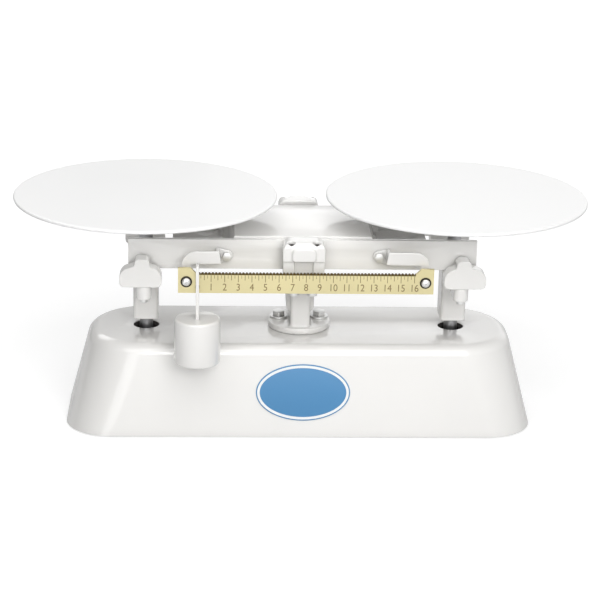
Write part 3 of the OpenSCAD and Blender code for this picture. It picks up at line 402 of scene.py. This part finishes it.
def makeBase(b):
    bm = bmesh.new()
    high, low, hole = b["high"], b["low"], b["holeRadius"]
    atRim = (low, 0, 0, b["cornerLow"])
    atDeck = (high, b["taperLength"], b["taperWidth"], b["cornerHigh"])
    for z, shorter, narrower, corner in (atRim, atDeck):
        outline = bmesh.ops.create_grid(bm, x_segments=1, y_segments=1, size=0.5)["verts"]
        spread = (b["length"] - shorter, b["width"] - narrower, 1)
        bmesh.ops.scale(bm, vec=spread, verts=outline)
        bmesh.ops.translate(bm, vec=(0, 0, z), verts=outline)
        rounded(bm, outline, corner, b["cornerSteps"], "VERTICES")
    under = [f for f in bm.faces if f.calc_center_median().z < low + near]
    bmesh.ops.delete(bm, geom=under, context="FACES_ONLY")
    bmesh.ops.bridge_loops(bm, edges=bm.edges[:])
    bmesh.ops.recalc_face_normals(bm, faces=bm.faces)
    deckEdge = [e for e in bm.edges if min(v.co.z for v in e.verts) > high - near]
    rounded(bm, deckEdge, b["edge"], b["edgeSteps"])
    cutter = bmesh.new()
    for side in (-1, 1):
        bmesh.ops.create_cone(cutter, cap_ends=True, segments=b["holeSteps"], radius1=hole,
                              radius2=hole, depth=b["holeDepth"],
                              matrix=Matrix.Translation((side * b["holeX"], 0, high)))
    hollow = {"thickness": b["wall"] * mm, "offset": -1, "use_even_offset": True}
    shell = cutOut(meshFrom(bm, mm), cutter, ("SOLIDIFY", hollow))
    bm = bmesh.new()
    bm.from_mesh(shell)
    for v in bm.verts:  # the lower rim lies flat
        v.co.z = max(v.co.z, low * mm)

    def onHole(v):
        fromHole = Vector((abs(v.co.x) - b["holeX"] * mm, v.co.y)).length
        return max(abs(v.co.z - high * mm), abs(fromHole - hole * mm)) < near * mm

    rims = [e for e in bm.edges if all(onHole(v) for v in e.verts)]
    rounded(bm, rims, b["lip"] * mm, b["lipSteps"])
    radiusLow, radiusHigh = b["footRadii"]
    for x in (-b["footX"], b["footX"]):  # sockets of the feet
        for y in (-b["footY"], b["footY"]):
            spot = Matrix.Translation(Vector((x, y, b["footZ"])) * mm)
            bmesh.ops.create_cone(bm, cap_ends=True, segments=b["footSteps"],
                                  radius1=radiusLow * mm, radius2=radiusHigh * mm,
                                  depth=b["footDepth"] * mm, matrix=spot)
    casting = addPiece("baseCasting", meshFrom(bm), "base_shell").data
    casting.materials.append(materials["bareShadedCasting"])
    inside = 0
    for face in casting.polygons:  # the hollow and the holes' walls are left unpainted and near black, partly painted shade for the dark inside of the holes
        middleX = max(-b["middleX"], min(b["middleX"], face.center.x / mm))
        outwards = face.center - Vector((middleX, 0, b["middleZ"])) * mm
        if face.normal.dot(outwards) < 0 and face.center.z < (high - b["paintDepth"]) * mm:
            face.material_index = 1
            inside += 1
    print("base casting:", len(rims), "edges round its holes,", inside, "unpainted faces")


makeBase(base)

# Plates: turned discs with a rounded rim, a shallow step inside it and a boss below
plate = {"radius": 114.3, "low": 198, "high": 201, "rim": 1.45, "bossRadius": 9.7,
         "bossDrop": 3.2, "bossEdge": 0.6, "flatRadius": 60, "stepFrom": 4, "stepTo": 8,
         "step": 0.12, "steps": 144, "armX": 135.6}


def makePlate(name, node, side, p):
    low, high, rim, boss = p["low"], p["high"], p["rim"], p["bossRadius"]
    bossLow = low - p["bossDrop"]
    floor = high - p["step"]
    edge = p["radius"] - rim
    points = [(0, bossLow), (boss - p["bossEdge"], bossLow), (boss, bossLow + p["bossEdge"]),
              (boss, low), (p["flatRadius"], low)]
    points += quarter(edge, low + rim, rim, -90) + quarter(edge, high - rim, rim, 0)
    points += [(p["radius"] - p["stepFrom"], high), (p["radius"] - p["stepTo"], floor),
               (p["flatRadius"], floor), (0, floor)]
    bm = spun(points, p["steps"])
    bmesh.ops.translate(bm, vec=(side * p["armX"], 0, 0), verts=bm.verts)
    addPiece(name, meshFrom(bm, mm), node)


makePlate("leftPlate", "left_plate", -1, plate)
makePlate("rightPlate", "right_plate", 1, plate)

# Poise weight: a turned cylinder with soft edges and a cavity below
weight = {"radius": 19.6, "low": 74.5, "high": 114.5, "edge": 2.2, "cavityRadius": 12,
          "cavityTop": 93.8, "cavityEdge": 0.5, "steps": 96, "y": -80}


def makeWeight(w, x):
    low, high, edge, cavity = w["low"], w["high"], w["edge"], w["cavityRadius"]
    side = w["radius"] - edge
    points = [(0, w["cavityTop"]), (cavity, w["cavityTop"]), (cavity, low + w["cavityEdge"]),
              (cavity + w["cavityEdge"], low)]
    points += quarter(side, low + edge, edge, -90) + quarter(side, high - edge, edge, 0)
    points += [(0, high)]
    bm = spun(points, w["steps"])
    bmesh.ops.translate(bm, vec=(x, w["y"], 0), verts=bm.verts)
    addPiece("poiseWeight", meshFrom(bm, mm), "poise_weight")


hangerLow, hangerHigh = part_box("poise_hanger")
zeroX = (hangerLow[0] + hangerHigh[0]) / 2 / mm
makeWeight(weight, zeroX)
print("plates and poise weight turned")

# Painted castings: the CAD shape remeshed and smoothed, so that every edge and corner runs
# soft; voxel in millimetres, rounds of smoothing, and the share of the faces that is kept
castings = {"centre_stand": (0.9, 5, 0.35), "front_bearing_cap": (0.5, 42, 0.5),
            "rear_bearing_cap": (0.5, 42, 0.5), "front_bearing_bracket": (0.6, 4, 0.4),
            "rear_bearing_bracket": (0.6, 4, 0.4), "left_front_wing": (0.5, 10, 0.4),
            "left_rear_wing": (0.5, 10, 0.4), "right_front_wing": (0.5, 10, 0.4),
            "right_rear_wing": (0.5, 10, 0.4), "left_bearer": (0.7, 5, 0.35),
            "right_bearer": (0.7, 5, 0.35), "left_bar_bracket": (0.45, 28, 0.4),
            "right_bar_bracket": (0.45, 28, 0.4), "left_spider": (0.8, 5, 0.3),
            "right_spider": (0.8, 5, 0.3)}
castingSet = {"smoothing": 0.5, "sharp": 60}
# Drawn in round their centre lines to the photograph's size: axis 1 is y, axis 2 is z
boltDraw = {"centres": [(-65, 0, 161.5), (65, 0, 161.5)], "reach": 7.3, "axis": 1}
capDraw = {"centres": [(x, y, 0) for x in (-10.8, 10.8) for y in (-69.5, 69.5)], "reach": 4,
           "axis": 2}
drawShare = {"left_bar_bracket": 0.74, "right_bar_bracket": 0.74, "beam_bolts": 0.72,
             "cap_screws": 0.8}


def camel(node):
    first, *rest = node.split("_")
    return first + "".join(word.title() for word in rest)


def drawnIn(bm, share, d):  # the points near each centre line move towards it
    across = Vector([0 if i == d["axis"] else 1 for i in range(3)])
    squeeze = [1 if i == d["axis"] else share for i in range(3)]
    for centre in d["centres"]:
        middle = Vector(centre) * mm
        near = [v for v in bm.verts if ((v.co - middle) * across).length < d["reach"] * mm]
        bmesh.ops.scale(bm, vec=squeeze, space=Matrix.Translation(-middle), verts=near)


def readyCopy(node):  # a merged copy, drawn in where the node is listed for it
    bm = mergedCopy(node)
    if node in drawShare:
        drawnIn(bm, drawShare[node], capDraw if node == "cap_screws" else boltDraw)
    return bm


for node, (voxel, rounds, kept) in castings.items():
    soft = shaped(meshFrom(readyCopy(node)),
                  ("REMESH", {"mode": "VOXEL", "voxel_size": voxel * mm}),
                  ("SMOOTH", {"factor": castingSet["smoothing"], "iterations": rounds}),
                  ("DECIMATE", {"ratio": kept}))
    addPiece(camel(node), soft, node, angle=castingSet["sharp"])
print("castings softened:", len(castings))

# Machined and bent pieces: the CAD shape with small rounded edges, width in millimetres
machined = {"beam_front_bar": 0.7, "beam_rear_bar": 0.7, "beam_bridge": 0.8,
            "stand_bolts": 0.35, "stand_washers": 0.3, "stand_nuts": 0.3, "link_hanger": 0.5,
            "hanger_pin": 0.25, "beam_bolts": 0.4, "centre_knife": 0.12, "end_knives": 0.12,
            "centre_bearings": 0.2, "bar_spacers": 0.3, "bar_nuts": 0.25, "check_bar": 0.5,
            "left_spindle": 0.3, "right_spindle": 0.3, "right_ballast": 0.8,
            "poise_hanger": 0.45, "poise_pin": 0.25, "poise_plug": 0.3, "rubber_feet": 0.8,
            "foot_screws": 0.25, "bracket_screws": 0.3, "cap_screws": 0.25,
            "left_wing_screws": 0.3, "right_wing_screws": 0.3, "left_bearings": 0.2,
            "right_bearings": 0.2, "left_set_screw": 0.3, "right_set_screw": 0.3,
            "left_link_pin": 0.25, "right_link_pin": 0.25, "left_spider_screw": 0.3,
            "right_spider_screw": 0.3}
machinedSet = {"angle": 28, "steps": 3}

for node, width in machined.items():
    bm = readyCopy(node)
    least = radians(machinedSet["angle"])
    sharp = [e for e in bm.edges if len(e.link_faces) == 2 and e.calc_face_angle(0) > least]
    rounded(bm, sharp, width * mm, machinedSet["steps"], clamp=True)
    # the cap screws take the near-black steel, painted shade for the dark recesses in the caps
    addPiece(camel(node), meshFrom(bm), node, "shadeBlackSteel" if node == "cap_screws" else None)
print("machined pieces edged:", len(machined))

# Screws of the notched bar: slotted domed heads, each in a near-black cup washer that is painted
# shade for the shadow under the head
barScrew = {"places": (-99.14, 102.74), "y": -81.5, "z": 147, "shank": 1.75, "length": 15.6,
            "head": 3.6, "headEdge": 0.3, "dome": 2.7, "domeStep": 15, "cup": 4.9,
            "cupThick": 0.8, "cupEdge": 0.3, "cupLip": 0.25, "cupCrown": 0.15, "cupDish": 0.3,
            "play": 0.2, "slotLong": 12, "slotWide": 0.9, "slotDeep": 1.1, "slotTurn": 35,
            "steps": 40}


def makeBarScrews(b):
    screws, cups, cutter = bmesh.new(), bmesh.new(), bmesh.new()
    shank, head, cup, thick, play = b["shank"], b["head"], b["cup"], b["cupThick"], b["play"]
    turns = [radians(a) for a in range(0, 90, b["domeStep"])]
    headLine = [(0, -b["length"]), (shank, -b["length"]), (shank, 0), (head - b["headEdge"], 0),
                (head, b["headEdge"])]
    headLine += [(head * cos(a), thick + (b["dome"] - thick) * sin(a)) for a in turns]
    headLine += [(0, b["dome"])]
    cupLine = [(shank + play, 0), (cup - b["cupEdge"], 0), (cup, b["cupLip"]),
               (cup - play, thick - b["cupCrown"]), (head + play, thick),
               (shank + play, thick - b["cupDish"]), (shank + play, 0)]
    for x in b["places"]:
        spot = Matrix.Translation((x, b["y"], b["z"])) @ Matrix.Rotation(pi / 2, 4, "X")
        for line, whole in ((headLine, screws), (cupLine, cups)):
            turned = meshFrom(spun(line, b["steps"]))
            turned.transform(spot)
            whole.from_mesh(turned)
        slot = (spot @ Matrix.Translation((0, 0, b["dome"]))
                @ Matrix.Rotation(radians(b["slotTurn"]), 4, "Z")
                @ Matrix.Diagonal((b["slotLong"], b["slotWide"], 2 * b["slotDeep"], 1)))
        bmesh.ops.create_cube(cutter, size=1, matrix=slot)
    addPiece("barScrews", cutOut(meshFrom(screws, mm), cutter), "bar_screws")
    addPiece("cupWashers", meshFrom(cups, mm), "bar_screws", "shadeBlackSteel", stands=False)


makeBarScrews(barScrew)
print("bar screws turned")

# Notched bar: its marks and plain numbers are filled with dark enamel; widths and lengths are
# those of the ounce, half and quarter marks, and the pitch is the arm over the poise's ounces
marks = {"ounces": 16, "parts": 4, "zeroX": zeroX, "pitch": 11.443, "frontY": -81.5,
         "top": 152.9, "widths": (0.52, 0.44, 0.36), "lengths": (6.0, 4.4, 2.9),
         "numberSize": 8.9, "numberWide": 0.86, "numberZ": 139.4, "numberSteps": 6,
         "depth": 0.03, "sunk": 0.1}


def makeMarks(m):
    bm = bmesh.new()
    parts, pitch = m["parts"], m["pitch"]
    thick = 2 * (m["sunk"] + m["depth"])
    for i in range(parts * m["ounces"] + 1):
        kind = 0 if i % parts == 0 else 1 if i % (parts // 2) == 0 else 2
        long, wide = m["lengths"][kind], m["widths"][kind]
        spot = Matrix.Translation((m["zeroX"] + i * pitch / parts, m["frontY"] + m["sunk"],
                                   m["top"] - long / 2))
        bmesh.ops.create_cube(bm, size=1, matrix=spot @ Matrix.Diagonal((wide, thick, long, 1)))
    for i in range(m["ounces"] + 1):
        text = bpy.data.curves.new("number", "FONT")
        text.body = str(i)
        text.size = m["numberSize"]
        text.align_x = "CENTER"
        text.extrude = m["depth"]
        text.resolution_u = m["numberSteps"]
        number = evaluatedMesh(newObject("number", text))
        spot = Matrix.Translation((m["zeroX"] + i * pitch, m["frontY"], m["numberZ"]))
        narrow = Matrix.Diagonal((m["numberWide"], 1, 1, 1))
        number.transform(spot @ Matrix.Rotation(pi / 2, 4, "X") @ narrow)
        bm.from_mesh(number)
    addPiece("barMarks", meshFrom(bm, mm), "poise_bar", "markBrown", stands=False)


makeMarks(marks)
print("bar marked")

# Oval badge: blue enamel field with a thin white ring just inside its rim
badge = {"x": 2, "z": 40, "wallY": -63.07, "lean": 10.02, "halfWidth": 41, "halfHeight": 25,
         "inset": 0.1, "offWall": 0.1, "thick": 0.9, "edge": 0.35, "edgeSteps": 3,
         "ringIn": 1.1, "ringWide": 2.2, "ringThick": 0.12, "ringSunk": 0.04, "steps": 96}


def ovalDisc(b, smaller):
    bm = bmesh.new()
    disc = bmesh.ops.create_circle(bm, cap_ends=True, segments=b["steps"], radius=1)["verts"]
    spread = (b["halfWidth"] - smaller, b["halfHeight"] - smaller, 1)
    bmesh.ops.scale(bm, vec=spread, verts=disc)
    return bm


def raiseFaces(bm, height):
    grown = bmesh.ops.extrude_face_region(bm, geom=bm.faces[:])["geom"]
    top = [v for v in grown if isinstance(v, bmesh.types.BMVert)]
    bmesh.ops.translate(bm, vec=(0, 0, height), verts=top)
    bmesh.ops.recalc_face_normals(bm, faces=bm.faces)


def makeBadge(b):
    lean = Matrix.Rotation(radians(90 - b["lean"]), 4, "X")
    spot = Matrix.Translation((b["x"], b["wallY"], b["z"])) @ lean
    field = ovalDisc(b, b["inset"])
    raiseFaces(field, b["thick"])
    rim = [e for e in field.edges if all(v.co.z > b["thick"] - near for v in e.verts)]
    rounded(field, rim, b["edge"], b["edgeSteps"])
    ring = ovalDisc(b, b["ringIn"])
    bmesh.ops.inset_region(ring, faces=ring.faces[:], thickness=b["ringWide"],
                           use_boundary=True, use_even_offset=True)
    middle = max(ring.faces, key=lambda f: len(f.verts))
    bmesh.ops.delete(ring, geom=[middle], context="FACES_ONLY")
    raiseFaces(ring, b["ringThick"])
    ringLift = b["offWall"] + b["thick"] - b["ringSunk"]
    for bm, lift in ((field, b["offWall"]), (ring, ringLift)):
        bmesh.ops.translate(bm, vec=(0, 0, lift), verts=bm.verts)
        bmesh.ops.transform(bm, matrix=spot, verts=bm.verts)
    addPiece("badgeField", meshFrom(field, mm), "front_badge")
    addPiece("badgeRing", meshFrom(ring, mm), "front_badge", "ringWhite", stands=False)


makeBadge(badge)
print("badge fitted")
